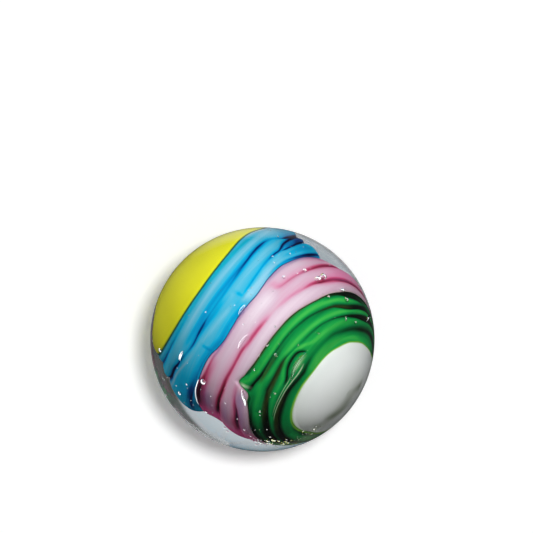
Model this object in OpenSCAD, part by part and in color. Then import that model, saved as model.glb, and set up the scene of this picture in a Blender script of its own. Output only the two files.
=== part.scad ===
// A clear glass ball with a wound body of coloured glass sealed inside it.
// The origin is the ball's centre. The wound body has its own axis, which leans inside the ball.

/* [Ball] */
// Diameter of the ball
ball_d = 25; // [16:0.5:50]
// Clear glass over the yellow end, measured along the winding axis
yellow_cover = 3.8; // [1.5:0.1:4.5]
// Clear glass over the white end, measured along the winding axis
white_cover = 2.5; // [1:0.1:3]
// Clear glass around the body's widest place, as it would be with the body in the middle
side_cover = 4.9; // [2:0.1:5.5]

/* [Lie of the wound body] */
// How far the winding axis passes beside the ball's centre
side_shift = 0.4; // [0:0.1:1]
// Lean of the winding axis above level, white end up
axis_tilt = 15; // [-90:1:90]
// Turn of the winding axis about the vertical
axis_turn = -35; // [-180:1:180]

/* [Shape of the wound body] */
// Widest place along the axis, from the ball's centre towards the white end
widest_at = 1.7; // [-1:0.1:3]
// How far past the first blue turn the outline of the threads would close
yellow_close = 4.1; // [1:0.1:6]
// How far past the last green turn the outline of the threads would close
white_close = 1.6; // [0.5:0.1:5]
// Fullness of that outline, where 2 is a true ellipse and more is blunter
fullness = 2.5; // [2:0.1:4]

/* [Ends] */
// Length of the yellow end along the axis
yellow_l = 2.7; // [1:0.1:3.5]
// Length of the white end along the axis
white_l = 2.4; // [1:0.1:3.5]

/* [Threads] */
// Turns of blue thread
blue_turns = 3; // [1:1:6]
// Width of one blue turn as laid
blue_w = 1.6; // [0.8:0.1:3]
// Turns of pink thread
pink_turns = 3; // [1:1:6]
// Width of one pink turn as laid
pink_w = 1.4; // [0.8:0.1:3]
// Turns of green thread
green_turns = 4; // [1:1:6]
// Width of one green turn as laid
green_w = 1.2; // [0.8:0.1:3]
// Radius of a turn's rounded back for each millimetre of its width, where 0.5 is a full half round
crown = 0.7; // [0.55:0.05:1.5]

/* [Hidden] */
$fn = 96;
ball_r = ball_d / 2;
body_r = ball_r - side_cover;
// places along the winding axis, measured from the ball's centre towards the white end
yellow_tip = yellow_cover - ball_r;
white_tip = ball_r - white_cover;
wound_start = yellow_tip + yellow_l;
wound_end = white_tip - white_l;
// the laid threads spread or squeeze along the axis until they fill the space between the ends
squeeze = (wound_end - wound_start) / (blue_turns * blue_w + pink_turns * pink_w + green_turns * green_w);
blue_end = to_micron(wound_start + blue_turns * blue_w * squeeze);
pink_end = to_micron(blue_end + pink_turns * pink_w * squeeze);

// a border between two colours lies on a whole thousandth of a millimetre, so both sides meet on one plane
function to_micron(at) = round(at * 1000) / 1000;

// radius of the body's long egg shape at a place along its axis
function egg_r(at) =
    let (closed = at < widest_at ? wound_start - yellow_close : wound_end + white_close)
    body_r * sqrt(1 - pow((at - widest_at) / (closed - widest_at), fullness));

// radius of the sphere whose cap has this height and this base radius
function cap_r(height, base_r) = (pow(height, 2) + pow(base_r, 2)) / (2 * height);

// turns an outline about the winding axis and lays it in its place in the ball
module turned() {
    rotate([0, 90 - axis_tilt, axis_turn])
        translate([0, side_shift, 0])
            rotate_extrude()
                children();
}

// half outline of turns laid side by side from one place to another, fused down to the axis
module winding_outline(start, end, turns) {
    pitch = (end - start) / turns;
    back_r = crown * pitch;
    middles = [for (i = [0 : turns - 1]) start + (i + 0.5) * pitch];
    seats = [for (at = middles) egg_r(at) - back_r];
    intersection() {
        union() {
            for (i = [0 : turns - 1])
                translate([seats[i], middles[i]])
                    circle(r = back_r);
            polygon(concat(
                [[0, start], [seats[0], start]],
                [for (i = [0 : turns - 1]) [seats[i], middles[i]]],
                [[seats[turns - 1], end], [0, end]]
            ));
        }
        translate([0, start])
            square([ball_r, end - start]);
    }
}

// half outline of a rounded end, from its flat base at the axis place given to its tip
module cap_outline(base_at, height, outward) {
    round_r = cap_r(height, egg_r(base_at));
    translate([0, base_at])
        mirror([0, outward > 0 ? 0 : 1])
            intersection() {
                translate([0, height - round_r])
                    circle(r = round_r);
                square([ball_r, height]);
            }
}

module yellow_outline() {
    cap_outline(wound_start, yellow_l, -1);
}

module blue_outline() {
    winding_outline(wound_start, blue_end, blue_turns);
}

module pink_outline() {
    winding_outline(blue_end, pink_end, pink_turns);
}

module green_outline() {
    winding_outline(pink_end, wound_end, green_turns);
}

module white_outline() {
    cap_outline(wound_end, white_l, 1);
}

module yellow_end() {
    color("#d6d628")
        turned()
            yellow_outline();
}

module blue_threads() {
    color("#2aa9d2")
        turned()
            blue_outline();
}

module pink_threads() {
    color("#d9a6c2")
        turned()
            pink_outline();
}

module green_threads() {
    color("#189640")
        turned()
            green_outline();
}

module white_end() {
    color("#e8eceb")
        turned()
            white_outline();
}

// the ball, gathered close round the whole wound body
module clear_casing() {
    color("#dfe8ea", 0.35)
        difference() {
            sphere(r = ball_r);
            turned() {
                yellow_outline();
                blue_outline();
                pink_outline();
                green_outline();
                white_outline();
            }
        }
}

clear_casing();
yellow_end();
blue_threads();
pink_threads();
green_threads();
white_end();
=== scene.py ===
import math
import random

import bmesh
import bpy
import numpy as np
from mathutils import Matrix, Vector


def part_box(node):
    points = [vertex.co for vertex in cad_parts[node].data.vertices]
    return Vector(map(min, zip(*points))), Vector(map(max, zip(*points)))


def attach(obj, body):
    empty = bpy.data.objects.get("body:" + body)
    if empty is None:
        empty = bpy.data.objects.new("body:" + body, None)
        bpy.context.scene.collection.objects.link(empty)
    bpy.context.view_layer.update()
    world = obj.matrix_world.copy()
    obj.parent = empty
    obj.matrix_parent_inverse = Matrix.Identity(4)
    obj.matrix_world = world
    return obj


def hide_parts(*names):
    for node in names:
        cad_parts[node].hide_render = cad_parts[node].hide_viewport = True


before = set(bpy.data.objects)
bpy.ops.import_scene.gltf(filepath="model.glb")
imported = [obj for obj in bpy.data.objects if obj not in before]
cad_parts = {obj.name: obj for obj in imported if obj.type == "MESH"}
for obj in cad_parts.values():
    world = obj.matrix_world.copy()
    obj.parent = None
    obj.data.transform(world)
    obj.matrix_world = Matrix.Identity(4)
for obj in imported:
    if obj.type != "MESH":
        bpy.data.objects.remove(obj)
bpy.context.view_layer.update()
mm = 0.001  # a millimetre, in metres


def linearColour(code):  # an sRGB hex code as a linear colour
    parts = [int(code[i:i + 2], 16) / 255 for i in (1, 3, 5)]
    return [p / 12.92 if p <= 0.04045 else ((p + 0.055) / 1.055) ** 2.4 for p in parts] + [1]


def addNode(tree, kind, settings=(), **links):  # one node, its settings, and what feeds its inputs
    node = tree.nodes.new(kind)
    for name, value in dict(settings).items():
        if name != "stops":
            setattr(node, name, value)
            continue
        while len(node.color_ramp.elements) < len(value):
            node.color_ramp.elements.new(0.5)
        for element, (position, code) in zip(node.color_ramp.elements, value):
            element.position = position
            element.color = linearColour(code)
    for key, value in links.items():  # i0, i1 and so on go by number, the rest by name
        name = key.replace("_", " ")
        socket = node.inputs[int(name[1:])] if name[0] == "i" and name[1:].isdigit() else node.inputs[name]
        if isinstance(value, bpy.types.Node):
            value = value.outputs[0]
        if isinstance(value, bpy.types.NodeSocket):
            tree.links.new(value, socket)
        else:
            socket.default_value = value
    return node


def newMaterial(name):
    material = bpy.data.materials.new(name)
    material.use_nodes = True
    material.node_tree.nodes.clear()
    return material, material.node_tree


def addObject(name, data):
    made = bpy.data.objects.new(name, data)
    bpy.context.collection.objects.link(made)
    return made


def meshFrom(bm, name):
    mesh = bpy.data.meshes.new(name)
    bm.to_mesh(mesh)
    bm.free()
    return mesh


def meshPoints(mesh):
    points = np.empty(len(mesh.vertices) * 3)
    mesh.vertices.foreach_get("co", points)
    return points.reshape(-1, 3)


def follow(route, at):  # def follow(route, at): # a smooth line through given (at, value) points, level beyond its ends
    x = np.array([point[0] for point in route], float)
    y = np.array([point[1] for point in route], float)
    slope = np.gradient(y, x)
    at = np.clip(at, x[0], x[-1])
    i = np.clip(np.searchsorted(x, at) - 1, 0, len(x) - 2)
    span = x[i + 1] - x[i]
    t = (at - x[i]) / span
    return ((2 * t ** 3 - 3 * t ** 2 + 1) * y[i] + (t ** 3 - 2 * t ** 2 + t) * span * slope[i]
            + (3 * t ** 2 - 2 * t ** 3) * y[i + 1] + (t ** 3 - t ** 2) * span * slope[i + 1])


def angleGap(angle, at):  # shortest turn from one angle to another, in degrees
    return (angle - at + 180) % 360 - 180


# The frame gives the ball, and the lie of the wound body in it.
ballLow, ballHigh = (np.array(corner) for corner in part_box("clear_casing"))
ballRadius = float(ballHigh[2] - ballLow[2]) / 2


def surfaceMiddle(name):  # the middle of a node's surface, weighted by area
    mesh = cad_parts[name].data
    total = sum(face.area for face in mesh.polygons)
    return sum((face.center * face.area for face in mesh.polygons), Vector()) / total


axisDir = (surfaceMiddle("white_end") - surfaceMiddle("yellow_end")).normalized()
axisFoot = surfaceMiddle("white_end") - axisDir * surfaceMiddle("white_end").dot(axisDir)
layTurn = math.radians(3.4)  # the winding is turned this much about its own axis
topDir = (Vector((0, 0, 1)) - axisDir * axisDir.z).normalized()
sideDir = topDir.cross(axisDir)
upDir = topDir * math.cos(layTurn) - sideDir * math.sin(layTurn)
sideDir = upDir.cross(axisDir)


def toAxis(points):  # place along the axis in mm, distance from it in mm, angle round it in degrees
    offset = (points - np.array(axisFoot)) / mm
    up, side = offset @ np.array(upDir), offset @ np.array(sideDir)
    return offset @ np.array(axisDir), np.hypot(up, side), np.degrees(np.arctan2(side, up))


def fromAxis(place, radius, angle):
    turn = np.radians(angle)
    radial = np.outer(np.cos(turn), upDir) + np.outer(np.sin(turn), sideDir)
    return np.array(axisFoot) + mm * (np.outer(place, axisDir) + radial * np.reshape(radius, (-1, 1)))


turnCount = {"blue_threads": 3, "pink_threads": 3, "green_threads": 4}
bodyNodes = [*turnCount, "yellow_end", "white_end"]
spans = {name: toAxis(meshPoints(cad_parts[name].data)) for name in bodyNodes}
bandEnds = {name: (float(span[0].min()), float(span[0].max())) for name, span in spans.items()}
endRadius = {name: float(spans[name][1].max()) for name in ("yellow_end", "white_end")}


def bodyProfile():  # (place, radius) in mm of every turn's crown, from one end's base to the other's
    points = [(bandEnds["yellow_end"][1], endRadius["yellow_end"])]
    for name, turns in turnCount.items():
        place, radius = spans[name][:2]
        edges = np.linspace(*bandEnds[name], turns + 1)
        for low, high in zip(edges[:-1], edges[1:]):
            points.append(((low + high) / 2, radius[(place > low) & (place < high)].max()))
    return points + [(bandEnds["white_end"][0], endRadius["white_end"])]


profile = bodyProfile()
print("frame: ball radius", round(ballRadius / mm, 2), "body radius", round(max(r for _, r in profile), 2))


# The camera looks nearly straight down, from far off through a long lens.
view = {"elevation": 86, "distance": 0.4, "ballShare": 0.421, "shiftX": 0.0077, "shiftY": 0.1368,
        "clipStart": 0.01}


def makeCamera():
    data = bpy.data.cameras.new("camera")
    camera = addObject("camera", data)
    tilt = math.radians(90 - view["elevation"])
    camera.location = (0, -view["distance"] * math.sin(tilt), view["distance"] * math.cos(tilt))
    camera.rotation_euler = (tilt, 0, 0)
    edge = math.tan(math.asin(ballRadius / view["distance"]))
    data.lens = data.sensor_width * view["ballShare"] / (2 * edge)
    data.shift_x, data.shift_y = view["shiftX"], view["shiftY"]
    data.clip_start = view["clipStart"]
    bpy.context.scene.camera = camera
    print("camera set at", [round(at, 4) for at in camera.location])


makeCamera()

# The wound threads. A seam is where two turns of thread meet, a shade is where the coloured skin pools
# without a groove, a rise is a turn's pale crown, and a tint or a flush is a second colour's stain; a few
# tints, flushes and spots are painted light or painted shade instead, and say so where they stand.
# A line is its width in mm, then its points. A point is (angle, place, strength): degrees round the axis,
# thread widths from the colour's yellow-side border, and how strong the line is there. Past 360 a line
# is on its next turn. A spot is (place in mm from the ball's centre, angle, strength, reach in mm,
# reach in degrees), and darkens like a shade. A start or an end is a border, as (angle, place) points.
blue = {
    "node": "blue_threads", "rows": 84,
    "start": [(-180, 0.05), (-90, 0.03), (-60, 0.06), (-40, 0.1), (-20, 0.14), (0, 0.19), (20, 0.18),
              (40, 0.13), (58, 0.03), (66, 0.04), (73, 0.1), (79, 0.2), (85, 0.33), (91, 0.4), (110, 0.34),
              (150, 0.1), (180, 0.05)],
    "seams": [
        (0.1, [(-180, 0.4, 0.3), (-100, 0.38, 0.7), (-60, 0.38, 0.6), (-30, 0.4, 0.35), (0, 0.42, 0.15),
               (40, 0.42, 0.15), (66, 0.45, 0.2), (78, 0.5, 0), (150, 0.45, 0), (180, 0.4, 0.3)]),
        (0.13, [(-180, 1.3, 0.9), (-110, 0.95, 1), (-95, 1.05, 1), (-80, 1.08, 1), (-70, 1.2, 0.9),
                (-60, 1.3, 0.7), (-50, 1.46, 0.5), (-38, 1.62, 0.75), (-28, 1.6, 0.75), (-20, 1.59, 0.65),
                (-10, 1.62, 0.4), (0, 1.65, 0.35), (20, 1.59, 0.35), (30, 1.52, 0.45), (40, 1.43, 0.5),
                (50, 1.32, 0.6), (62, 1.27, 0.8), (70, 1.3, 0.6), (78, 1.45, 0.35), (85, 1.71, 0.5),
                (92, 1.8, 0.9), (100, 1.87, 1), (110, 1.9, 1), (180, 1.3, 0.9)]),
        (0.1, [(14, 2.66, 0), (20, 2.6, 0.35), (25, 2.57, 0.4), (35, 2.47, 0.45), (45, 2.35, 0.5),
               (55, 2.28, 0.6), (62, 2.25, 0.85), (70, 2.25, 0.9), (80, 2.06, 1), (90, 2, 1), (105, 1.98, 1),
               (180, 2.1, 1), (260, 2.2, 0)]),
        (0.08, [(66, 2.28, 0), (75, 2.38, 0.8), (85, 2.41, 0.9), (100, 2.38, 1), (120, 2.3, 1),
                (160, 2.2, 0)]),
    ],
    "shades": [
        (0.3, [(-50, 1.1, 0), (-35, 1.25, 0.4), (0, 1.34, 0.6), (30, 1.36, 0.6), (50, 1.28, 0.4),
               (75, 1.25, 0)]),
        (0.25, [(-32, 1.62, 0), (-22, 1.72, 0.5), (-10, 1.85, 0.5), (0, 1.9, 0.4), (12, 2, 0)]),
        (0.35, [(-120, 2.5, 0.7), (-95, 2.5, 0.8), (-80, 2.45, 0.9), (-65, 2.5, 0.7), (-50, 2.55, 0.5),
                (-38, 2.65, 0.5), (-28, 2.9, 0.6), (-20, 3.05, 0.6), (-10, 3, 0.5), (5, 3.05, 0.45),
                (13, 3, 0)]),
        (0.14, [(-104, 2.48, 0.9), (-90, 2.48, 1.2), (-80, 2.53, 1.1), (-70, 2.58, 0.9), (-60, 2.58, 0.8),
                (-50, 2.62, 0.8), (-40, 2.7, 0.7), (-34, 2.82, 0.6), (-27, 3.02, 0.5), (-18, 3.17, 0.4),
                (-8, 3.2, 0)]),
        (0.12, [(38, 3.04, 0), (50, 2.97, 0.5), (62, 3, 0.8), (72, 3.08, 1.1), (82, 3.16, 1.4),
                (92, 3.18, 1.5), (110, 3.15, 1.4), (140, 2.9, 0)]),
        (0.22, [(72, 2.22, 0), (82, 2.24, 0.6), (95, 2.22, 0.6), (115, 2.15, 0.9), (160, 2.2, 0)]),
        (0.3, [(62, 2.65, 0), (75, 2.8, 0.35), (95, 2.8, 0.4), (120, 2.8, 0)]),
    ],
    "rises": [
        (0.42, [(-180, 0.82, 0.4), (-90, 0.82, 0.1), (-50, 0.82, 0.35), (-20, 0.82, 0.6), (60, 0.82, 0.6),
                (90, 0.9, 0.7), (110, 1, 0.8), (180, 0.82, 0.4)]),
        (0.28, [(-80, 1.2, 0), (-65, 1.4, 0.25), (-50, 1.65, 0.35), (-35, 1.95, 0.4), (-20, 2.25, 0.5),
                (-10, 2.35, 0.5), (0, 2.45, 0.45), (9, 2.5, 0)]),
        (0.5, [(10, 2.75, 0), (17, 2.9, 0.9), (30, 2.95, 1), (45, 2.78, 0.8), (60, 2.75, 0.4),
               (80, 2.8, 0.1), (95, 2.9, 0)]),
        (0.35, [(-8, 2, 0), (12, 2.1, 0.4), (30, 2, 0.45), (60, 1.85, 0.45), (85, 2, 0)]),
    ],
    "tintsAndPaintedLight": [
        (0.26, [(-80, 0.24, 0), (-60, 0.26, 0.2), (-35, 0.28, 0.6), (0, 0.34, 0.85), (50, 0.36, 0.85),
                (70, 0.4, 0.5), (85, 0.4, 0)]),
    ],
    "flushesAndGlow": [
        (0.2, [(62, 0.08, 0), (70, 0.14, 0.6), (78, 0.28, 0.95), (86, 0.46, 0.9), (94, 0.64, 0.7),
               (104, 0.9, 0.4), (118, 1.2, 0)]),
        (0.1, [(-112, 1.15, 0.4), (-96, 1.24, 0.5), (-80, 1.32, 0.5), (-66, 1.5, 0.4), (-54, 1.72, 0.3),
               (-42, 1.9, 0)]),
    ],
    "spots": [(-2.2, 15, 0.5, 0.5, 1.6), (-2.1, -32.5, 0.55, 0.45, 1.2), (-2.9, -88, 0.5, 1.0, 22),
              (-3.4, 100, 0.4, 2.5, 12)],
}

pink = {
    "node": "pink_threads", "rows": 76,
    "start": [(-180, -0.1), (-120, -0.2), (-98, -0.22), (-90, -0.28), (-75, -0.35), (-60, -0.31),
              (-50, -0.28), (-40, -0.2), (-35, -0.11), (-30, 0.05), (-25, 0.16), (-20, 0.23), (-10, 0.24),
              (5, 0.21), (15, 0.27), (22, 0.3), (30, 0.23), (40, 0.12), (45, 0.09), (55, 0.06), (70, 0.18),
              (85, 0.28), (100, 0.3), (180, -0.1)],
    "seams": [
        (0.13, [(-98, -0.1, 1), (-90, -0.13, 1), (-66, -0.13, 0.9), (-58, -0.02, 0.5), (-45, 0.05, 0.35),
                (-35, 0.12, 0.35), (-28, 0.22, 0.25), (-20, 0.3, 0.2), (0, 0.33, 0.15), (12, 0.36, 0)]),
        (0.2, [(33, 1.06, 0), (38, 1.14, 0.3), (45, 1.21, 0.4), (55, 1.28, 0.4), (65, 1.39, 0.45),
               (75, 1.46, 0.5), (85, 1.5, 0.55), (95, 1.54, 0.6), (110, 1.48, 0.65), (180, 1.5, 0.7),
               (240, 1.3, 1), (265, 1.06, 1), (274, 1.25, 1), (282, 1.32, 1), (290, 1.35, 1),
               (298, 1.43, 0.95), (305, 1.5, 0.9), (313, 1.54, 0.75), (320, 1.61, 0.65), (327, 1.68, 0.6),
               (335, 1.72, 0.6), (342, 1.75, 0.6), (348, 1.86, 0.5), (355, 1.9, 0.45), (365, 1.97, 0.4),
               (371, 2.01, 0.25), (376, 2.04, 0.1), (380, 2.08, 0.12), (388, 2.15, 0.25), (395, 2.22, 0.3),
               (402, 2.33, 0.35), (410, 2.44, 0.4), (418, 2.51, 0.45), (425, 2.66, 0.55), (432, 2.73, 0.6),
               (440, 2.8, 0.55), (450, 2.91, 0.55), (460, 2.98, 0.6), (470, 3.06, 0.6), (540, 2.9, 0.8),
               (600, 2.6, 1), (620, 2.59, 1), (630, 2.69, 1), (638, 2.73, 1), (645, 2.77, 1),
               (652, 2.73, 0.9), (658, 2.62, 0.6), (665, 2.51, 0.4), (673, 2.46, 0.25), (678, 2.4, 0)]),
    ],
    "shades": [
        (0.2, [(-100, -0.12, 1), (-64, -0.12, 1), (-55, -0.05, 0.4), (-45, 0, 0)]),
        (0.42, [(-110, 0.1, 0.8), (-90, 0.1, 0.75), (-70, 0.12, 0.75), (-56, 0.2, 0.6), (-44, 0.28, 0.4),
                (-34, 0.35, 0)]),
        (0.4, [(62, 1.46, 0), (72, 1.5, 0.35), (82, 1.58, 0.5), (100, 1.6, 0.55), (120, 1.55, 0.5),
               (170, 1.5, 0)]),
        (0.5, [(70, 0.5, 0), (84, 0.55, 0.35), (100, 0.6, 0.5), (140, 0.6, 0.3), (180, 0.5, 0)]),
        (0.36, [(48, 2.44, 0), (60, 2.62, 0.35), (70, 2.84, 0.55), (85, 2.95, 0.75), (110, 3.05, 0.75),
                (160, 2.9, 0)]),
        (0.3, [(-15, 1.85, 0), (-5, 1.9, 0.25), (8, 1.95, 0.2), (20, 2.05, 0)]),
    ],
    "rises": [
        (0.7, [(-60, 0.8, 0), (-30, 0.9, 0.15), (-10, 0.95, 0.35), (8, 1.05, 0.7), (25, 1.15, 0.8),
               (33, 1.1, 0.2), (45, 0.6, 0.1), (70, 0.7, 0.2), (100, 0.8, 0)]),
        (0.6, [(-45, 2.3, 0), (-20, 2.4, 0.35), (10, 2.55, 0.6), (40, 2.8, 0.5), (60, 2.95, 0.3),
               (90, 3.1, 0)]),
    ],
    "tintsAndPaintedLight": [
        (0.16, [(-40, 0.05, 0), (-30, 0.2, 0.5), (-20, 0.28, 0.6), (-10, 0.3, 0.6), (0, 0.32, 0.5),
                (12, 0.38, 0.3), (18, 0.42, 0)]),
        (0.22, [(30, 0.3, 0), (40, 0.22, 0.45), (55, 0.2, 0.5), (70, 0.3, 0.6), (85, 0.4, 0.7),
                (100, 0.42, 0.9), (125, 0.3, 0.9), (170, 0, 0)]),
        (0.5, [(-100, 3.05, 0.2), (-85, 3.1, 0.45), (-65, 3.05, 0.5), (-52, 2.9, 0.45), (-46, 2.85, 0)]),
        # painted shade: these two mauve tints darken the pink low on its underside, away from the light
        (0.7, [(-105, 0.55, 0), (-88, 0.5, 0.5), (-72, 0.45, 0.4), (-60, 0.4, 0)]),
        (0.5, [(-105, 2, 0), (-88, 1.9, 0.4), (-72, 1.9, 0.3), (-60, 1.9, 0)]),
    ],
    "flushesAndGlow": [
        # painted light: this wide bright magenta flush along the pink's lower rim is a painted glow of light
        # shining through its thin edge
        (3.4, [(-156, 1.6, 0), (-140, 1.6, 0.3), (-126, 1.6, 0.75), (-114, 1.6, 1), (-100, 1.6, 1),
               (-93, 1.6, 0.35), (-82, 1.6, 0)]),
        (0.8, [(66, 2.5, 0), (80, 2.45, 0.25), (95, 2.4, 0.5), (120, 2.2, 0.5), (150, 2.2, 0)]),
    ],
    # painted shade: the wide spot at -85 degrees darkens the pink on its underside
    "spots": [(-0.15, 37, 0.3, 0.5, 4), (1.0, -85, 0.35, 2.2, 12)],
}

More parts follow.
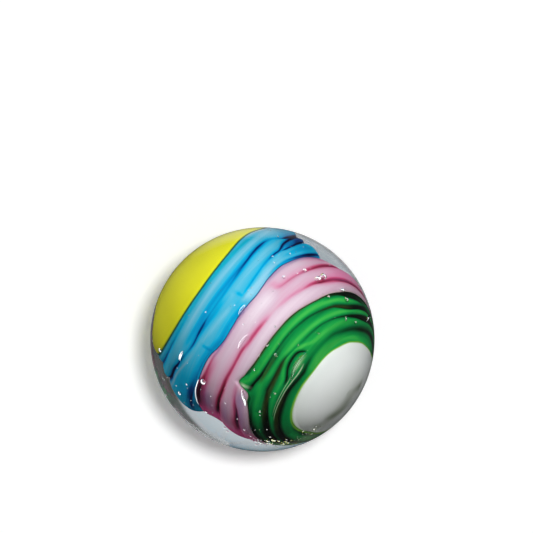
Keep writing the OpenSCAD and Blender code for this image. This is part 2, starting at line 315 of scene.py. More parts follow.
green = {
    "node": "green_threads", "rows": 150,
    "start": [(-180, 0.8), (-110, 0.65), (-100, 0.62), (-90, 0.66), (-80, 0.7), (-70, 0.7), (-62, 0.62),
              (-55, 0.45), (-48, 0.38), (-45.5, 0.2), (-44, -0.14), (-42.5, -0.55), (-41, -0.66),
              (-39, -0.62), (-35, -0.44), (-30, -0.31), (-25, -0.19), (-20, -0.1), (-10, -0.02), (0, 0.02),
              (10, 0.09), (20, 0.15), (30, 0.28), (40, 0.49), (50, 0.66), (60, 0.74), (70, 0.84), (80, 0.93),
              (90, 0.92), (100, 0.92), (180, 0.8)],
    "seams": [
        (0.12, [(-46, 0.42, 0), (-42, 0.45, 1), (-35, 0.62, 1), (-28, 0.83, 1), (-20, 0.91, 0.85),
                (-10, 0.96, 0.65), (0, 1, 0.6), (10, 1.04, 0.55), (20, 1.14, 0.5), (30, 1.3, 0.5),
                (40, 1.5, 0.55), (50, 1.72, 0.6), (58, 1.92, 0.7), (66, 2.24, 0.9), (74, 2.49, 1),
                (82, 2.55, 1), (90, 2.48, 1), (100, 2.4, 1), (180, 2, 1), (270, 2.18, 1), (300, 2.18, 1),
                (315, 1.97, 0.7), (324, 1.8, 0.55), (332, 1.89, 0.55), (340, 1.93, 0.6), (348, 1.89, 0.6),
                (355, 1.93, 0.6), (360, 2.05, 0.5), (368, 2.22, 0.3), (380, 2.36, 0.35), (387, 2.42, 0.4),
                (395, 2.51, 0.45), (405, 2.67, 0.5), (415, 2.9, 0.65), (425, 3.12, 0.85), (435, 3.23, 1),
                (445, 3.34, 1), (455, 3.38, 1), (470, 3.3, 1), (540, 3.2, 1), (630, 3.15, 1), (660, 3.15, 1),
                (675, 3.24, 1), (685, 3.31, 1), (695, 3.45, 0.9), (705, 3.6, 0.8), (712, 3.66, 0.85),
                (720, 3.62, 0.65), (730, 3.58, 0.3), (740, 3.58, 0.25), (750, 3.6, 0.3), (760, 3.62, 0.4),
                (770, 3.7, 0.5), (780, 3.75, 0.6), (790, 3.78, 0.65), (800, 3.8, 0.7), (810, 3.8, 0.75),
                (820, 3.77, 0.75), (830, 3.72, 0.8), (900, 3.8, 0.8), (990, 3.9, 0)]),
        (0.13, [(-27, 2.92, 0), (-20, 2.84, 0.9), (-16, 2.68, 1), (-12, 2.51, 1), (-6, 2.41, 1),
                (0, 2.41, 1), (3, 2.46, 1), (6, 2.65, 0.9), (8.5, 2.99, 0.5), (9.5, 3.1, 0)]),
    ],
    "shades": [
        (0.2, [(-180, 0.85, 0.8), (-100, 0.78, 0.9), (-70, 0.8, 0.9), (-55, 0.62, 0.8), (-47, 0.5, 0.7),
               (-42, -0.5, 0.4), (-30, -0.15, 0.8), (-20, -0.02, 0.75), (0, 0.06, 0.65), (20, 0.16, 0.65),
               (30, 0.28, 0.8), (40, 0.5, 1), (50, 0.7, 1.1), (60, 0.82, 1.2), (70, 0.95, 1.5),
               (80, 1.14, 1.7), (100, 1.14, 1.6), (180, 0.85, 0.8)]),
        (0.4, [(52, 0.84, 0), (60, 0.9, 0.7), (68, 1, 1.1), (76, 1.14, 1.5), (84, 1.28, 1.6),
               (92, 1.35, 1.6), (102, 1.42, 1.3), (130, 1.4, 1), (200, 1.2, 0.8), (300, 0.95, 0)]),
        (0.22, [(56, 0.9, 0), (63, 1, 0.9), (70, 1.14, 1.4), (77, 1.37, 1.6), (85, 1.6, 1.6),
                (92, 1.74, 1.4), (100, 1.85, 1), (125, 1.8, 0)]),
        (0.3, [(-120, 1.1, 1), (-95, 1, 1), (-75, 0.95, 0.9), (-60, 0.9, 0.6), (-45, 0.9, 0.3),
               (-38, 0.9, 0)]),
        (0.28, [(56, 1.85, 0), (66, 2.2, 0.8), (75, 2.44, 1), (84, 2.46, 1.2), (95, 2.36, 1.1),
                (108, 2.1, 1), (130, 2.1, 0)]),
        (0.4, [(-120, 2.2, 1.2), (-90, 2.2, 1.2), (-68, 2.2, 1), (-55, 2.1, 0.8), (-40, 2, 0.7),
               (-25, 2.05, 0.65), (-12, 2, 0.5), (-4, 1.98, 0)]),
        (0.34, [(-120, 3.15, 1.2), (-85, 3.15, 1.2), (-62, 3.2, 1.1), (-48, 3.3, 0.8), (-35, 3.35, 0.5),
                (-25, 3.45, 0)]),
        (0.18, [(60, 3.2, 0), (72, 3.3, 0.6), (84, 3.32, 1.2), (95, 3.28, 1.3), (108, 3.15, 1.1),
                (125, 3, 0)]),
        (0.25, [(-60, 1.5, 0.4), (-40, 1.55, 0.25), (-20, 1.32, 0.3), (-10, 1.3, 0.55), (0, 1.3, 0.2),
                (20, 1.5, 0.15), (50, 1.9, 0.2), (65, 2.05, 0)]),
        (0.25, [(-60, 2.8, 0.45), (-35, 2.85, 0.4), (-24, 2.95, 0.35), (-14, 3.1, 0.2), (-8, 3.2, 0)]),
        (0.2, [(-90, 3.6, 0.3), (-40, 3.65, 0.25), (-20, 3.75, 0.2), (0, 3.8, 0)]),
        (0.14, [(-150, 3.6, 0.6), (-125, 3.85, 0.8), (-100, 3.9, 0.7), (-80, 3.84, 0.4), (-60, 3.83, 0)]),
    ],
    "rises": [
        (0.26, [(-41, -0.3, 0.2), (-38, -0.14, 0.5), (-35, 0.19, 0.5), (-30, 0.36, 0.5), (-25, 0.62, 0.6),
                (-15, 0.74, 0.75), (-5, 0.79, 0.85), (15, 0.83, 0.9), (25, 0.89, 0.9), (35, 1.03, 0.9),
                (45, 1.19, 0.9), (55, 1.36, 0.85), (65, 1.6, 0.8), (75, 1.87, 0.8), (83, 2.04, 0.6),
                (95, 2.1, 0.4), (200, 1.8, 0.4), (300, 1.46, 0.25), (315, 1.38, 0.3), (326, 1.29, 0.3),
                (332, 1.38, 0.4), (338, 1.59, 0.6), (345, 1.67, 0.6), (352, 1.72, 0.7), (360, 1.82, 0.85),
                (370, 1.9, 0.9), (380, 2.02, 0.9), (390, 2.14, 0.9), (400, 2.29, 0.85), (410, 2.45, 0.8),
                (420, 2.65, 0.8), (430, 2.82, 0.75), (440, 2.93, 0.6), (450, 2.93, 0.5), (462, 2.78, 0.4),
                (560, 2.7, 0.4), (650, 2.6, 0.2), (680, 2.52, 0.2), (690, 2.6, 0.3), (698, 2.65, 0.6),
                (702, 2.48, 0.8), (707, 2.31, 1), (712, 2.17, 1), (717, 2.12, 1), (723, 2.2, 1),
                (728, 2.4, 1), (732, 2.65, 0.9), (736, 2.88, 0.85), (740, 3.05, 0.8), (748, 3.17, 0.8),
                (757, 3.26, 0.75), (767, 3.35, 0.7), (780, 3.47, 0.65), (790, 3.52, 0.6), (800, 3.5, 0.6),
                (812, 3.44, 0.5), (900, 3.5, 0.4), (1000, 3.5, 0)]),
        (0.26, [(-180, 3.95, 0.3), (-60, 3.75, 0), (-20, 3.7, 0.1), (-8, 3.8, 0.6), (0, 3.85, 0.8),
                (30, 3.88, 0.8), (50, 4, 0.7), (70, 4.2, 0.6), (90, 4.5, 0.5), (120, 4.4, 0.4),
                (180, 3.95, 0.3)]),
    ],
    "tintsAndPaintedLight": [
        # painted light: this wide pale tint lightens the green along its lower rim
        (3.2, [(-140, 2.4, 0), (-126, 2.4, 0.34), (-114, 2.4, 0.26), (-106, 2.4, 0)]),
        # painted highlights: these two thin pale arcs and the pale spot after them are glints painted along
        # the teardrop void
        (0.026, [(-66, 2.88, 0), (-58, 2.92, 0.4), (-48, 3.01, 0.6), (-40, 3.1, 0.65), (-30, 3.21, 0.75),
                 (-20, 3.36, 0.9), (-13, 3.45, 1), (-6, 3.47, 1), (0, 3.43, 0)]),
        (0.024, [(-60, 2.77, 0), (-50, 2.84, 0.4), (-40, 2.94, 0.55), (-30, 3.05, 0.6), (-22, 3.13, 0.6),
                 (-14, 3.14, 0)]),
        (0.15, [(-14, 3.12, 0), (-10, 3.11, 0.4), (-5, 3.12, 0.75), (0, 3.15, 0.4), (5, 3.2, 0.1),
                (8, 3.24, 0)]),
        (0.42, [(-42.6, -0.1, 0), (-41.4, -0.1, 0.9), (-40.4, -0.05, 0.5), (-39, 0, 0)]),
    ],
    "flushesAndGlow": [
        (0.22, [(-75, 1.9, 0), (-60, 1.95, 0.5), (-40, 2.02, 0.7), (-25, 2.06, 0.7), (-12, 2, 0.6),
                (-2, 1.95, 0)]),
        (0.18, [(-35, 1, 0), (-28, 1.1, 0.7), (-20, 1.16, 0.7), (-8, 1.2, 0.3), (5, 1.3, 0)]),
        (0.1, [(40, 1.6, 0), (54, 1.8, 0.5), (64, 2.1, 0.7), (72, 2.35, 0.7), (82, 2.5, 0)]),
        (0.15, [(-30, 0, 0), (-20, 0.02, 0.7), (-10, 0.1, 0.7), (10, 0.2, 0.6), (30, 0.4, 0.7),
                (55, 0.8, 0.6), (75, 1.1, 0)]),
        (0.16, [(-90, 2.95, 0), (-70, 3, 0.5), (-45, 3.1, 0.5), (-28, 3.25, 0)]),
    ],
    # painted shade: the wide spot at -92 degrees darkens the green on its underside
    "spots": [(4.6, -92, 0.75, 2.4, 22), (4.6, 95, 0.3, 1.0, 12)],
    "end": [(-180, 3.5), (-150, 3.6), (-130, 3.8), (-115, 3.93), (-100, 3.92), (-85, 3.86), (-70, 3.82),
            (-40, 3.84), (-20, 3.91), (-10, 3.98), (0, 4.04), (10, 4.06), (20, 4.09), (30, 4.15), (40, 4.25),
            (50, 4.31), (60, 4.36), (70, 4.44), (80, 4.47), (90, 4.47), (105, 4.45), (115, 4.36),
            (130, 4.05), (150, 3.65), (180, 3.5)],
}

# where the body swells or thins: place in mm from the ball's centre, angle, height in mm, reach in mm
# and in degrees
swellings = [(-6.8, -112, 0.62, 0.9, 24), (-3.6, -115, 0.35, 1.6, 25), (-0.3, -95, -0.22, 1, 16),
             (-0.4, 102, -0.22, 0.9, 16), (1.5, 131, 0.2, 0.9, 14), (-0.6, 0, -0.35, 1.3, 999)]
# the yellow end leans to one side from a place in mm, by so much for each mm beyond it
lean = {"from": -2.5, "slope": 0.31, "toward": 90}
# laps are the turns of thread that a line may lie on, and weld is in metres
winding = {"steps": 480, "endRows": 60, "laps": (-1, 4), "weld": 1e-6, "grooveDepth": 0.3,
           "grooveWidth": 0.22, "borderDepths": (0.3, 0.9, 1, 0.4)}
# a seam's stain is a dark middle with a soft shoulder that reaches this many times further
stainShape = {"middle": 0.65, "shoulder": 0.35, "reach": 2.6}


def threadWidth(colour):
    start, end = bandEnds[colour["node"]]
    return (end - start) / turnCount[colour["node"]]


def borderPlace(colour, route, angle):  # a wandering border's place in mm from the ball's centre
    return bandEnds[colour["node"]][0] + threadWidth(colour) * follow(route, angleGap(angle, 0))


# faint grey clouds in the two ends, given as spots are; they lie on the ends' lower and far sides, partly
# cloudy glass and partly painted shade
cloudsAndShade = {"yellow_end": [(-6.6, -112, 0.5, 0.8, 22)],
          "white_end": [(8.6, -112, 0.3, 0.5, 16), (9.3, -118, 0.5, 0.35, 22), (9.6, -141, 0.45, 0.3, 30),
                        (9.9, 180, 0.45, 0.2, 60), (9.55, 155, 0.7, 0.25, 14), (7.9, -95, 0.18, 0.9, 25)]}
borders = [lambda angle: borderPlace(blue, blue["start"], angle),
           lambda angle: borderPlace(pink, pink["start"], angle),
           lambda angle: borderPlace(green, green["start"], angle),
           lambda angle: borderPlace(green, green["end"], angle)]


def traceLines(colour, lines, place, angle, reach):  # how strongly each point feels a colour's lines
    total = np.zeros_like(place)
    start = bandEnds[colour["node"]][0]
    for width, points in lines:
        middles, strengths = [p[:2] for p in points], [(p[0], p[2]) for p in points]
        for lap in range(*winding["laps"]):
            turn = angle + 360 * lap
            here = (turn >= points[0][0]) & (turn < points[-1][0])
            gap = np.abs(place - start - threadWidth(colour) * follow(middles, turn))
            total = np.maximum(total, here * follow(strengths, turn) * reach(gap, width))
    return total


def crease(gap, width):  # a groove, as narrow on every seam
    return np.exp(-gap / winding["grooveWidth"])


def bump(gap, width):
    return np.exp(-(gap / width) ** 2)


def stain(gap, width):
    shoulder = stainShape["shoulder"] * bump(gap, stainShape["reach"] * width)
    return stainShape["middle"] * bump(gap, width) + shoulder


def spotted(spots, place, angle):
    total = np.zeros_like(place)
    for at, turn, strength, reach, spread in spots:
        away = ((place - at) / reach) ** 2 + (angleGap(angle, turn) / spread) ** 2
        total = total + strength * np.exp(-away)
    return total


def coreRadius(place):  # the smooth outline of the threads, rounded off over each end as its cap is
    radius = follow(profile, place)
    for name, outward in (("yellow_end", -1), ("white_end", 1)):
        base, tip = bandEnds[name][::outward]
        share = np.clip((place - base) / (tip - base), 0, 1)
        roundness = ((tip - base) / endRadius[name]) ** 2
        cap = endRadius[name] * np.sqrt((1 - share) * (1 + roundness * share))
        radius = np.where(share > 0, cap, radius)
    return radius


def surfaceRadius(place, angle):  # the wound body's radius in mm, grooves and swellings taken in
    core = coreRadius(place)
    leaning = lean["slope"] * np.maximum(lean["from"] - place, 0)
    sideways = leaning * np.cos(np.radians(angle - lean["toward"]))
    radius = core + sideways * np.minimum(core / endRadius["yellow_end"], 1)
    radius = radius + spotted(swellings, place, angle)
    groove = np.zeros_like(place)
    for colour in (blue, pink, green):
        groove = np.maximum(groove, traceLines(colour, colour["seams"], place, angle, crease))
    for border, depth in zip(borders, winding["borderDepths"]):
        groove = np.maximum(groove, depth * np.exp(-np.abs(place - border(angle)) / winding["grooveWidth"]))
    return np.maximum(radius - winding["grooveDepth"] * groove * np.minimum(core, 1), 0)


def finishMesh(bm, name, slot, *materials):
    mesh = meshFrom(bm, name)
    mesh.shade_smooth()
    for material in materials:
        mesh.materials.append(material)
    piece = addObject(name, mesh)
    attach(piece, "root")
    return piece


def makeSleeve(rows):  # a capped unit tube, ready to be settled round the winding axis
    bm = bmesh.new()
    bmesh.ops.create_cone(bm, cap_ends=True, cap_tris=True, segments=winding["steps"], radius1=1,
                          radius2=1, depth=2)
    lengthwise = [edge for edge in bm.edges if abs(edge.verts[0].co.z - edge.verts[1].co.z) > 1]
    bmesh.ops.subdivide_edges(bm, edges=lengthwise, cuts=rows)
    return bm


def readSleeve(mesh):  # share of the way along, angle round, and whether a point is on the outside
    x, y, z = meshPoints(mesh).T
    return (z + 1) / 2, np.degrees(np.arctan2(-y, x)), np.hypot(x, y) > 0.5


def storeValue(mesh, name, values):
    layer = mesh.attributes.new(name, "FLOAT", "POINT")
    layer.data.foreach_set("value", np.asarray(values, dtype=np.float32))


def makeThreads(colour, low, high, slot, material):  # one colour's turns, between its two borders
    name = colour["node"].replace("_threads", "Threads")
    piece = finishMesh(makeSleeve(colour["rows"]), name, slot, material)
    share, angle, outer = readSleeve(piece.data)
    start, end = bandEnds[colour["node"]]
    first, last = low(angle), high(angle)
    place = np.where(outer, first + share * (last - first), np.where(share < 0.5, start, end))
    radius = np.where(outer, surfaceRadius(place, angle), 0)
    piece.data.vertices.foreach_set("co", fromAxis(place, radius, angle).ravel())
    storeValue(piece.data, "seam", traceLines(colour, colour["seams"], place, angle, stain))
    # the shade takes in the spots too, among them the painted shade low on the pink's and green's undersides
    shade = traceLines(colour, colour["shades"], place, angle, bump)
    storeValue(piece.data, "shade", shade + spotted(colour["spots"], place, angle))
    for layer, lines in (("crown", "rises"), ("tint", "tintsAndPaintedLight"), ("flush", "flushesAndGlow")):
        storeValue(piece.data, layer, traceLines(colour, colour[lines], place, angle, bump))
    storeValue(piece.data, "lowEdge", place - first)
    storeValue(piece.data, "highEdge", last - place)
    piece.data.update()
    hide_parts(colour["node"])
    print(colour["node"], "made:", len(piece.data.polygons), "faces")


def makeEnd(node, border, outward, slot, material):  # a rounded end, from its border to its tip
    piece = finishMesh(makeSleeve(winding["endRows"]), node.replace("_end", "End"), slot, material)
    share, angle, outer = readSleeve(piece.data)
    base, tip = bandEnds[node][::outward]
    share = share if outward > 0 else 1 - share  # 0 at the border, 1 at the tip
    first = border(angle)
    rounded = first + (tip - first) * np.sin(share * math.pi / 2)
    place = np.where(outer, rounded, np.where(share < 0.5, base, tip))
    radius = np.where(outer & (share < 1), surfaceRadius(place, angle), 0)
    piece.data.vertices.foreach_set("co", fromAxis(place, radius, angle).ravel())
    storeValue(piece.data, "lowEdge", np.abs(place - first))
    storeValue(piece.data, "tip", share)
    storeValue(piece.data, "cloud", spotted(cloudsAndShade[node], place, angle))
    bm = bmesh.new()
    bm.from_mesh(piece.data)
    bmesh.ops.remove_doubles(bm, verts=bm.verts, dist=winding["weld"])
    bm.to_mesh(piece.data)
    bm.free()
    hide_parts(node)
    print(node, "made:", len(piece.data.polygons), "faces")


axisTurn = Matrix((axisDir, sideDir, upDir)).transposed().to_euler()


# streaks drawn out along the thread: their width and length in mm, and their detail
def layStreaks(tree, across, along, detail):
    coords = addNode(tree, "ShaderNodeTexCoord")
    turned = addNode(tree, "ShaderNodeMapping", {"vector_type": "TEXTURE"}, Vector=coords.outputs["Object"],
                     Location=axisFoot, Rotation=axisTurn, Scale=(across * mm, along * mm, along * mm))
    noise = addNode(tree, "ShaderNodeTexNoise", Vector=turned, Scale=1.0, Detail=detail)
    return addNode(tree, "ShaderNodeMath", {"operation": "SUBTRACT"}, i0=noise.outputs["Fac"], i1=0.5)


# How much each mark deepens the skin's colour, from the pale core at 0 to its darkest pool at 1. Streaks are
# width, length and detail. Sizes are in mm.
skin = {"plain": 0.3, "seam": 0.7, "shade": 0.45, "crown": -0.3, "streaks": (0.24, 6, 4), "roughness": 0.4,
        "relief": 0.06, "reliefStrength": 0.35}


# Soda-lime art glass thread: an opaque pale core drawn with a clear coloured skin, laid hot and fused under
# clear glass. The skin pools dark where turns meet and thins to the pale core on their crowns. The fused
# border has no gloss of its own, as the clear glass over it has the same index.
# Some stains are painted light: the bright magenta flush on the pink's lower rim is a painted glow, the
# green's pale arcs and teardrop spot are painted highlights, its wide pale tint is painted light on its
# lower rim, and the pink's mauve tints low down are painted shade.
def threadGlass(name, stops, stainsAndPaintedLight, edges, streak):
    material, tree = newMaterial(name)
    value = {kind: addNode(tree, "ShaderNodeAttribute", {"attribute_name": kind}).outputs["Fac"]
             for kind in ("seam", "shade", "crown", "tint", "flush", "lowEdge", "highEdge")}
    streaks = layStreaks(tree, *skin["streaks"])
    marks = [(value[kind], skin[kind]) for kind in ("seam", "shade", "crown")]
    deep = skin["plain"]
    for mark, weight in [*marks, (streaks, streak)]:
        deep = addNode(tree, "ShaderNodeMath", {"operation": "MULTIPLY_ADD"}, i0=mark, i1=weight, i2=deep)
    last = addNode(tree, "ShaderNodeValToRGB", {"stops": stops}, Fac=deep)
    for kind, code in stainsAndPaintedLight.items():
        last = addNode(tree, "ShaderNodeMix", {"data_type": "RGBA"}, i0=value[kind], i6=last,
                       i7=linearColour(code)).outputs[2]
    for kind, code, reach in edges:  # a neighbour's colour soaks into the border, fading over so many mm
        fade = addNode(tree, "ShaderNodeMapRange", {"interpolation_type": "SMOOTHSTEP"}, Value=value[kind],
                       From_Min=0.0, From_Max=reach, To_Min=1.0, To_Max=0.0)
        last = addNode(tree, "ShaderNodeMix", {"data_type": "RGBA"}, i0=fade, i6=last,
                       i7=linearColour(code)).outputs[2]
    lift = addNode(tree, "ShaderNodeBump", Strength=skin["reliefStrength"], Distance=skin["relief"] * mm,
                   Height=streaks)
    shader = addNode(tree, "ShaderNodeBsdfPrincipled", Base_Color=last, Roughness=skin["roughness"],
                     Specular_IOR_Level=0.0, Normal=lift)
    addNode(tree, "ShaderNodeOutputMaterial", Surface=shader)
    return material


opal = {"streaks": (1.5, 4, 2), "wisps": 1.6, "roughness": 0.4}


# Opal glass, melted and cut with the gather at both ends of the winding: one dense colour with slow cloudy
# streaks, stained along its border by the thread fused to it.
def opalGlass(name, stops, edgeStops, cloudShadeCode, reach, streak):
    material, tree = newMaterial(name)
    value = {kind: addNode(tree, "ShaderNodeAttribute", {"attribute_name": kind}).outputs["Fac"]
             for kind in ("lowEdge", "tip", "cloud")}
    streaks = layStreaks(tree, *opal["streaks"])
    tone = addNode(tree, "ShaderNodeMath", {"operation": "MULTIPLY_ADD"}, i0=streaks, i1=streak,
                   i2=value["tip"])
    colour = addNode(tree, "ShaderNodeValToRGB", {"stops": stops}, Fac=tone)
    wisps = addNode(tree, "ShaderNodeMath", {"operation": "MULTIPLY_ADD"}, i0=streaks, i1=opal["wisps"],
                    i2=1.0)
    # the clouds turn the glass towards grey: partly its own cloudiness, partly painted shade low on the ends
    cloudyAndShaded = addNode(tree, "ShaderNodeMath", {"operation": "MULTIPLY", "use_clamp": True}, i0=wisps,
                     i1=value["cloud"])
    cloudedAndShaded = addNode(tree, "ShaderNodeMix", {"data_type": "RGBA"}, i0=cloudyAndShaded, i6=colour,
                      i7=linearColour(cloudShadeCode))
    fade = addNode(tree, "ShaderNodeMapRange", {"interpolation_type": "SMOOTHSTEP"}, Value=value["lowEdge"],
                   From_Min=0.0, From_Max=reach, To_Min=1.0, To_Max=0.0)
    edge = addNode(tree, "ShaderNodeValToRGB", {"stops": edgeStops}, Fac=fade)
    soak = addNode(tree, "ShaderNodeMix", {"data_type": "RGBA"}, i0=fade, i6=cloudedAndShaded.outputs[2],
                   i7=edge.outputs["Color"])
    shader = addNode(tree, "ShaderNodeBsdfPrincipled", Base_Color=soak.outputs[2],
                     Roughness=opal["roughness"], Specular_IOR_Level=0.0)
    addNode(tree, "ShaderNodeOutputMaterial", Surface=shader)
    return material


blueGlass = threadGlass("blue thread glass",
                        [(0, "#8CCEE6"), (0.22, "#54BCDC"), (0.42, "#0CB4E0"), (0.62, "#0694D0"),
                         (0.8, "#04448C"), (1, "#021438")],
                        {"tint": "#12AEC6", "flush": "#A4CAD8"},
                        [("lowEdge", "#004C3C", 0.2), ("highEdge", "#083C74", 0.08)], 0.24)
pinkGlass = threadGlass("pink thread glass",
                        [(0, "#EADCE6"), (0.25, "#D8BCCE"), (0.45, "#D898B6"), (0.65, "#C45078"),
                         (0.82, "#962C48"), (1, "#481422")],
                        # the flush colour is also the painted glow on the pink's lower rim
                        {"tint": "#8068A0", "flush": "#FF6CB4"},
                        [("lowEdge", "#9870B0", 0.1), ("highEdge", "#D0B8B8", 0.12)], 0.16)
greenGlass = threadGlass("green thread glass",
                         [(0, "#46BC50"), (0.2, "#22A648"), (0.4, "#0A8842"), (0.6, "#0A5A30"),
                          (0.8, "#0A2C18"), (1, "#06120A")],
                         # the pale tint colour paints the glints by the teardrop and the light along the
                         # green's lower rim
                         {"flush": "#34401C", "tint": "#CCECBE"},
                         [("lowEdge", "#342814", 0.1), ("highEdge", "#78BC3C", 0.08)], 0.24)
# the third colour of each end is its cloud, partly painted shade
yellowGlass = opalGlass("yellow opal glass", [(0, "#F2F02C"), (0.6, "#F8F63C"), (1, "#F4F24C")],
                        [(0, "#D0D824"), (0.6, "#7CA418"), (1, "#0C5C38")], "#C0BC30", 0.22, 0.3)
whiteGlass = opalGlass("white opal glass", [(0, "#F0F6F2"), (0.4, "#F6FAF8"), (1, "#ECF0EC")],
                       [(0, "#E4ECE0"), (0.6, "#C0D8A4"), (1, "#86C83C")], "#7C886C", 0.16, 0.2)

makeEnd("yellow_end", borders[0], -1, "yellow_glass", yellowGlass)
makeThreads(blue, borders[0], borders[1], "blue_glass", blueGlass)
makeThreads(pink, borders[1], borders[2], "pink_glass", pinkGlass)
makeThreads(green, borders[2], borders[3], "green_glass", greenGlass)
makeEnd("white_end", borders[3], 1, "white_glass", whiteGlass)


# Clear soda-lime glass gathered over the wound body and rounded hot, so its surface is fire-polished:
# perfectly smooth, no grain, and only its edge and its bubbles catch the eye.
def clearGlass(name, shadowPasses):
    material, tree = newMaterial(name)
    glass = addNode(tree, "ShaderNodeBsdfPrincipled", Base_Color=(1, 1, 1, 1), Roughness=0.0, IOR=1.5,
                    Transmission_Weight=1.0)
    clear = addNode(tree, "ShaderNodeBsdfTransparent")
    passing = addNode(tree, "ShaderNodeLightPath").outputs["Is Shadow Ray"]
    if not shadowPasses:  # lamps reach the body inside, while the ball keeps its shadow on the floor
        inside = addNode(tree, "ShaderNodeNewGeometry").outputs["Backfacing"]
        passing = addNode(tree, "ShaderNodeMath", {"operation": "MULTIPLY"}, i0=passing, i1=inside)
    mixed = addNode(tree, "ShaderNodeMixShader", i0=passing, i1=glass, i2=clear)
    addNode(tree, "ShaderNodeOutputMaterial", Surface=mixed)
    return material


# The air trapped in the casing. Each void is its width and its thickness in mm, then the points down its
# middle: place in mm, angle, and height over the wound body in mm. One point alone is a round seed.
voids = [
    (0.66, 0.66, [(2.3, 70, 0.4)]),
    (0.5, 0.2, [(2.14, 62, 0.15), (2.18, 64.5, 0.3), (2.22, 67.5, 0.3)]),
    (0.36, 0.36, [(0.68, 64, 0.25)]),
    (0.32, 0.32, [(-0.05, 46.5, 0.25)]),
    (0.55, 0.5, [(-1.12, -58.5, 0.35)]),
    (0.3, 0.22, [(-1.1, 11, 0.1), (-1.1, 7, 0.2), (-1.1, 2, 0.1)]),
    (0.3, 0.12, [(0.9, -6, 0.1), (0.72, -12, 0.15), (0.75, -19, 0.1)]),
    (0.3, 0.2, [(-4.1, -50, 0.1), (-4.15, -57, 0.2), (-4, -63, 0.1)]),
    (0.4, 0.22, [(3.9, 78.5, 0.15), (3.95, 82, 0.25), (3.95, 85, 0.15)]),
    (0.3, 0.3, [(4.26, 59, 0.2)]),
    (0.5, 0.46, [(5.22, 75, 0.25)]),
    (0.36, 0.36, [(7.2, 75, 0.2)]),
    (0.26, 0.2, [(6.6, 61, 0.1), (6.85, 61, 0.2), (7, 61, 0.1)]),
    (0.26, 0.26, [(5.59, 9, 0.2)]),
    (0.4, 0.34, [(4.3, -7, 0.15)]),
    (0.2, 0.2, [(3.1, -5, 0.15)]),
    (0.18, 0.18, [(2.9, -14, 0.15)]),
    (0.2, 0.2, [(3.2, -25, 0.15)]),
    (0.28, 0.28, [(5.95, -35, 0.2)]),
    (0.24, 0.24, [(5, -57, 0.2)]),
    (0.18, 0.18, [(5.05, -61, 0.2)]),
    (0.24, 0.24, [(6.4, 27, 0.2)]),
    (0.5, 0.3, [(5.6, -98, 0.25)]),
    (0.34, 0.3, [(5, -100, 0.2)]),
    (0.3, 0.22, [(6.1, -99, 0.2)]),
    (0.26, 0.2, [(6.5, -103, 0.2)]),
    (0.22, 0.2, [(5.4, -93, 0.2)]),
    (0.2, 0.2, [(-2.35, 58, 0.15)]),
    (0.18, 0.18, [(-1.75, 53, 0.15)]),
    (0.3, 0.3, [(-3.14, -92, 0.2)]),
    (0.2, 0.2, [(-2.6, -72, 0.2)]),
    (0.36, 0.3, [(-6.1, -93, 0.1)]),
    (0.13, 0.1, [(-1.72, -62, 0.1), (-1.78, -75, 0.12), (-1.65, -90, 0.1), (-1.55, -98, 0.05)]),
    (0.34, 0.3, [(2.75, -44.5, 0.1), (3, -48, 0.15), (3.25, -53, 0.15), (3.4, -59, 0.05)]),
    (0.4, 0.3, [(6.6, 8, 0), (6.5, 1, 0.1), (6.5, -6, 0.15), (6.62, -12, 0.1), (6.7, -18, 0)]),
    (0.25, 0.12, [(6.1, 112, 0.1), (6.5, 106, 0.15), (6.85, 101, 0.1)]),
]
# the fine seeds that every gather traps, and a patch of froth where the casing was closed under the green
seeds = {"number": 150, "smallest": 0.08, "largest": 0.22, "places": (-5.5, 7.2), "angles": (-180, 180),
         "heights": (0.05, 0.5), "random": 7}
froth = {"number": 110, "smallest": 0.07, "largest": 0.26, "places": (3.1, 8.5), "angles": (-117, -98),
         "heights": (0.08, 0.4), "random": 5}
# how finely the air and the ball are cut: a seed wider than roundFrom mm gets one more cut, and a long
# void's end is closed to the square root of this share of its width
casing = {"ballCuts": 7, "seedCuts": 2, "roundFrom": 0.25, "voidSides": 12, "voidRows": 12, "closed": 0.001}


def addVoid(bm, width, thick, points):
    first = len(bm.verts)
    knots = list(range(len(points)))

    def middle(at, lift=0.0):  # a place along the void, in metres
        if len(points) == 1:
            place, angle, height = (np.full_like(at, value) for value in points[0])
        else:
            routes = [[(knot, point[i]) for knot, point in zip(knots, points)] for i in range(3)]
            place, angle, height = (follow(route, at) for route in routes)
        return fromAxis(place, surfaceRadius(place, angle) + height + lift, angle)

    if len(points) == 1:
        cuts = casing["seedCuts"] + (width > casing["roundFrom"])
        bmesh.ops.create_icosphere(bm, subdivisions=cuts, radius=width / 2 * mm)
        centre, above = middle(np.zeros(1))[0], middle(np.zeros(1), 1.0)[0]
        squash = Matrix.Scale(thick / width, 4, Vector(above - centre).normalized())
        bm.verts.ensure_lookup_table()
        bmesh.ops.transform(bm, matrix=Matrix.Translation(centre) @ squash, verts=bm.verts[first:])
        return
    made = bmesh.ops.create_cone(bm, cap_ends=True, segments=casing["voidSides"], radius1=1, radius2=1,
                                 depth=2)
    edges = {edge for vert in made["verts"] for edge in vert.link_edges}
    lengthwise = [edge for edge in edges if abs(edge.verts[0].co.z - edge.verts[1].co.z) > 1]
    bmesh.ops.subdivide_edges(bm, edges=lengthwise, cuts=casing["voidRows"] * knots[-1])
    bm.verts.ensure_lookup_table()
    verts = bm.verts[first:]
    x, y, z = np.array([vert.co for vert in verts]).T
    along = (z + 1) / 2 * knots[-1]
    centre = middle(along)
    out = middle(along, 1.0) - centre
    step = 0.01  # a little way along, to find which way the void runs
    ahead = middle(np.minimum(along + step, knots[-1])) - middle(np.maximum(along - step, 0))
    side = np.cross(ahead, out)
    out /= np.linalg.norm(out, axis=1)[:, None]
    side /= np.linalg.norm(side, axis=1)[:, None]
    swell = np.sqrt(np.maximum(1 - z * z, casing["closed"]))[:, None] * mm / 2
    spots = centre + side * x[:, None] * width * swell + out * y[:, None] * thick * swell
    for vert, spot in zip(verts, spots):
        vert.co = spot


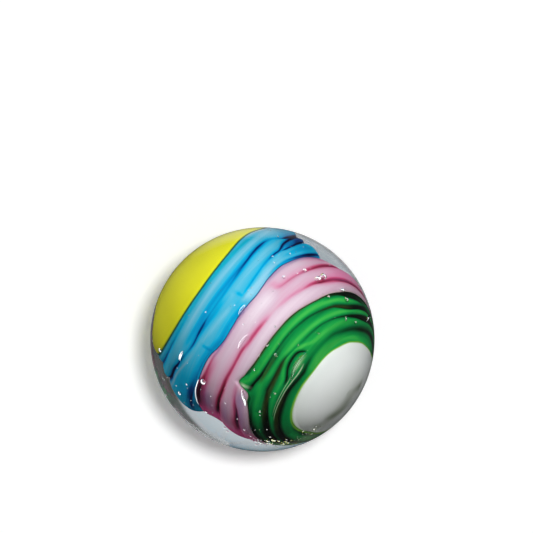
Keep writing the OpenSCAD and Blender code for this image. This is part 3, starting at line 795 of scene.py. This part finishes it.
def makeCasing():
    air = bmesh.new()
    for void in voids:
        addVoid(air, *void)
    for patch in (seeds, froth):
        chance = random.Random(patch["random"])
        for _ in range(patch["number"]):  # small ones are the commonest
            size = patch["smallest"] + (patch["largest"] - patch["smallest"]) * chance.random() ** 3
            spot = [chance.uniform(*patch[limits]) for limits in ("places", "angles", "heights")]
            addVoid(air, size, size, [spot])
    bmesh.ops.recalc_face_normals(air, faces=air.faces)
    bmesh.ops.reverse_faces(air, faces=air.faces)  # a void's walls face the air inside it
    for face in air.faces:
        face.material_index = 1
    hollow = meshFrom(air, "hollow")
    bm = bmesh.new()
    bmesh.ops.create_icosphere(bm, subdivisions=casing["ballCuts"], radius=ballRadius)
    bm.from_mesh(hollow)
    bpy.data.meshes.remove(hollow)
    piece = finishMesh(bm, "clearCasing", "clear_glass", clearGlass("clear casing glass", False),
                       clearGlass("bubble wall glass", True))
    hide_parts("clear_casing")
    print("clear_casing made:", len(piece.data.polygons), "faces")


makeCasing()


# The card looks white to the camera and grey in the light that it throws back, so the ball's underside
# stays dark, and the ball mirrors one pale patch of it. Seen through the ball it shows painted tones instead
# of its lit colour: pale, darker towards one side, brighter than white far off, and a painted shadow where
# the yellow end would shade the spot that the ball rests on. Sizes and places are in mm.
stage = {"floorSize": 4000, "cameraWhite": 1.3, "acrossWay": (-0.4, 0.9, 0), "bounce": (0.1, 0.6),
         "bounceSpan": (-6, 14), "mirrored": (0.7, 0.06), "mirrorSpot": (-4, 26), "mirrorSpan": (5, 14),
         "throughStops": [(0, "#CAD2D6"), (1, "#9CAAB2")], "throughSpan": (-1.5, 2.5), "paintedShadow": "#46544E",
         "paintedShadowSpot": (-1.25, 0.62), "paintedShadowSpan": (0.85, 1.25), "farWhite": 2.5, "farSpan": (5, 45)}
# The lamp's height and size are in metres, its lean in degrees. The sky lights the card with one tone, and
# the body in the glass with tones that grow to one side. Mirrored it is dark, and seen through, in bands.
light = {"lamp": 0.525, "lampLean": 6.3, "lampHeight": 0.4, "lampSize": 0.062, "cardSky": 0.33, "sky": 2.28,
         "zenith": 0.9, "skySpan": (-0.6, 0.8), "skyEnds": (0.07, 1.6), "gloss": 0.05, "bands": 3,
         "bandStops": [(0.02, "#7C7C7C"), (0.1, "#FFFFFF"), (0.55, "#FFFFFF"), (0.8, "#505050")]}
lampSide, skySide = Vector((1, 0.04, 0)), Vector((0.1, 0.93, 0.25)).normalized()


def inMetres(name):  # one of the stage's lengths or spots
    return [length * mm for length in stage[name]]


def makeFloor():
    bm = bmesh.new()
    bmesh.ops.create_grid(bm, x_segments=1, y_segments=1, size=stage["floorSize"] * mm / 2,
                          matrix=Matrix.Translation((0, 0, ballLow[2])))
    floor = addObject("floor", meshFrom(bm, "floor"))
    material, tree = newMaterial("white card")
    path = addNode(tree, "ShaderNodeLightPath")
    coords = addNode(tree, "ShaderNodeTexCoord").outputs["Object"]
    across = addNode(tree, "ShaderNodeVectorMath", {"operation": "DOT_PRODUCT"}, i0=coords,
                     i1=stage["acrossWay"]).outputs["Value"]
    low, high = inMetres("bounceSpan")
    thrown = addNode(tree, "ShaderNodeMapRange", Value=across, From_Min=low, From_Max=high,
                     To_Min=stage["bounce"][0], To_Max=stage["bounce"][1])
    beyond = addNode(tree, "ShaderNodeVectorMath", {"operation": "DISTANCE"}, i0=coords,
                     i1=(*inMetres("mirrorSpot"), ballLow[2])).outputs["Value"]
    low, high = inMetres("mirrorSpan")
    mirrored = addNode(tree, "ShaderNodeMapRange", Value=beyond, From_Min=low, From_Max=high,
                       To_Min=stage["mirrored"][0], To_Max=stage["mirrored"][1])
    reflection = addNode(tree, "ShaderNodeMath", {"operation": "SUBTRACT", "use_clamp": True},
                         i0=path.outputs["Is Glossy Ray"], i1=path.outputs["Is Transmission Ray"])
    thrown = addNode(tree, "ShaderNodeMix", i0=reflection, i2=thrown, i3=mirrored)
    level = addNode(tree, "ShaderNodeMix", i0=path.outputs["Is Camera Ray"], i2=thrown,
                    i3=stage["cameraWhite"])
    card = addNode(tree, "ShaderNodeBsdfDiffuse", Color=level)
    # seen through the ball: painted tones, and a painted shadow round the spot where the ball rests
    away = addNode(tree, "ShaderNodeVectorMath", {"operation": "DISTANCE"}, i0=coords,
                   i1=(*inMetres("paintedShadowSpot"), ballLow[2])).outputs["Value"]
    low, high = inMetres("paintedShadowSpan")
    share = addNode(tree, "ShaderNodeMapRange", {"interpolation_type": "SMOOTHSTEP"}, Value=away,
                    From_Min=low, From_Max=high)
    low, high = inMetres("throughSpan")
    tone = addNode(tree, "ShaderNodeMapRange", Value=across, From_Min=low, From_Max=high)
    near = addNode(tree, "ShaderNodeValToRGB", {"stops": stage["throughStops"]}, Fac=tone)
    low, high = inMetres("farSpan")
    far = addNode(tree, "ShaderNodeMapRange", {"interpolation_type": "SMOOTHSTEP"}, Value=away,
                  From_Min=low, From_Max=high)
    white = stage["farWhite"]
    lit = addNode(tree, "ShaderNodeMix", {"data_type": "RGBA"}, i0=far, i6=near, i7=(white, white, white, 1))
    through = addNode(tree, "ShaderNodeMix", {"data_type": "RGBA"}, i0=share,
                      i6=linearColour(stage["paintedShadow"]), i7=lit.outputs[2])
    seen = addNode(tree, "ShaderNodeEmission", Color=through.outputs[2])
    direct = addNode(tree, "ShaderNodeMath", {"operation": "LESS_THAN"}, i0=path.outputs["Diffuse Depth"],
                     i1=0.5)
    glassy = addNode(tree, "ShaderNodeMath", {"operation": "MULTIPLY"},
                     i0=path.outputs["Is Transmission Ray"], i1=direct)
    both = addNode(tree, "ShaderNodeMixShader", i0=glassy, i1=card, i2=seen)
    addNode(tree, "ShaderNodeOutputMaterial", Surface=both)
    floor.data.materials.append(material)


def makeWorld():
    world = bpy.data.worlds.new("studio")
    world.use_nodes = True
    world.cycles.sampling_method = "NONE"
    tree = world.node_tree
    tree.nodes.clear()
    path = addNode(tree, "ShaderNodeLightPath")
    toward = addNode(tree, "ShaderNodeTexCoord").outputs["Generated"]
    facing = addNode(tree, "ShaderNodeVectorMath", {"operation": "DOT_PRODUCT"}, i0=toward, i1=skySide)
    near = addNode(tree, "ShaderNodeMapRange", Value=facing.outputs["Value"], From_Min=light["skySpan"][0],
                   From_Max=light["skySpan"][1], To_Min=light["skyEnds"][0], To_Max=light["skyEnds"][1])
    height = addNode(tree, "ShaderNodeSeparateXYZ", Vector=toward).outputs["Z"]
    lit = addNode(tree, "ShaderNodeMath", {"operation": "MULTIPLY_ADD"}, i0=height,
                  i1=-light["zenith"] * light["sky"], i2=light["sky"])
    lit = addNode(tree, "ShaderNodeMath", {"operation": "MULTIPLY"}, i0=lit, i1=near)
    inGlass = addNode(tree, "ShaderNodeMath", {"operation": "GREATER_THAN"},
                      i0=path.outputs["Transmission Depth"], i1=0.5)
    lit = addNode(tree, "ShaderNodeMix", i0=inGlass, i2=light["cardSky"], i3=lit)
    bands = addNode(tree, "ShaderNodeValToRGB", {"stops": light["bandStops"]}, Fac=height)
    bands = addNode(tree, "ShaderNodeMath", {"operation": "MULTIPLY"}, i0=bands, i1=light["bands"])
    through = addNode(tree, "ShaderNodeMix", i0=path.outputs["Is Transmission Ray"], i2=light["gloss"],
                      i3=bands)
    bounced = addNode(tree, "ShaderNodeMath", {"operation": "GREATER_THAN"},
                      i0=path.outputs["Diffuse Depth"], i1=0.5)
    seen = addNode(tree, "ShaderNodeMix", i0=bounced, i2=through, i3=lit)
    strength = addNode(tree, "ShaderNodeMix", i0=path.outputs["Is Camera Ray"], i2=seen, i3=1.0)
    sky = addNode(tree, "ShaderNodeBackground", Color=(1, 1, 1, 1), Strength=strength)
    addNode(tree, "ShaderNodeOutputWorld", Surface=sky)
    bpy.context.scene.world = world


def makeLamp():
    data = bpy.data.lights.new("overhead", "AREA")
    data.shape = "DISK"
    data.size = light["lampSize"]
    data.energy = (math.pi * light["lampHeight"]) ** 2 * light["lamp"]
    lamp = addObject("overhead", data)
    toward = lampSide.normalized() * math.tan(math.radians(light["lampLean"])) + Vector((0, 0, 1))
    lamp.location = toward * light["lampHeight"]
    lamp.rotation_euler = toward.to_track_quat("Z", "Y").to_euler()
    lamp.visible_glossy = False
    lamp.visible_transmission = False


makeFloor()
makeWorld()
makeLamp()
bpy.context.scene.view_settings.view_transform = "Standard"
print("floor, world and lamp set")
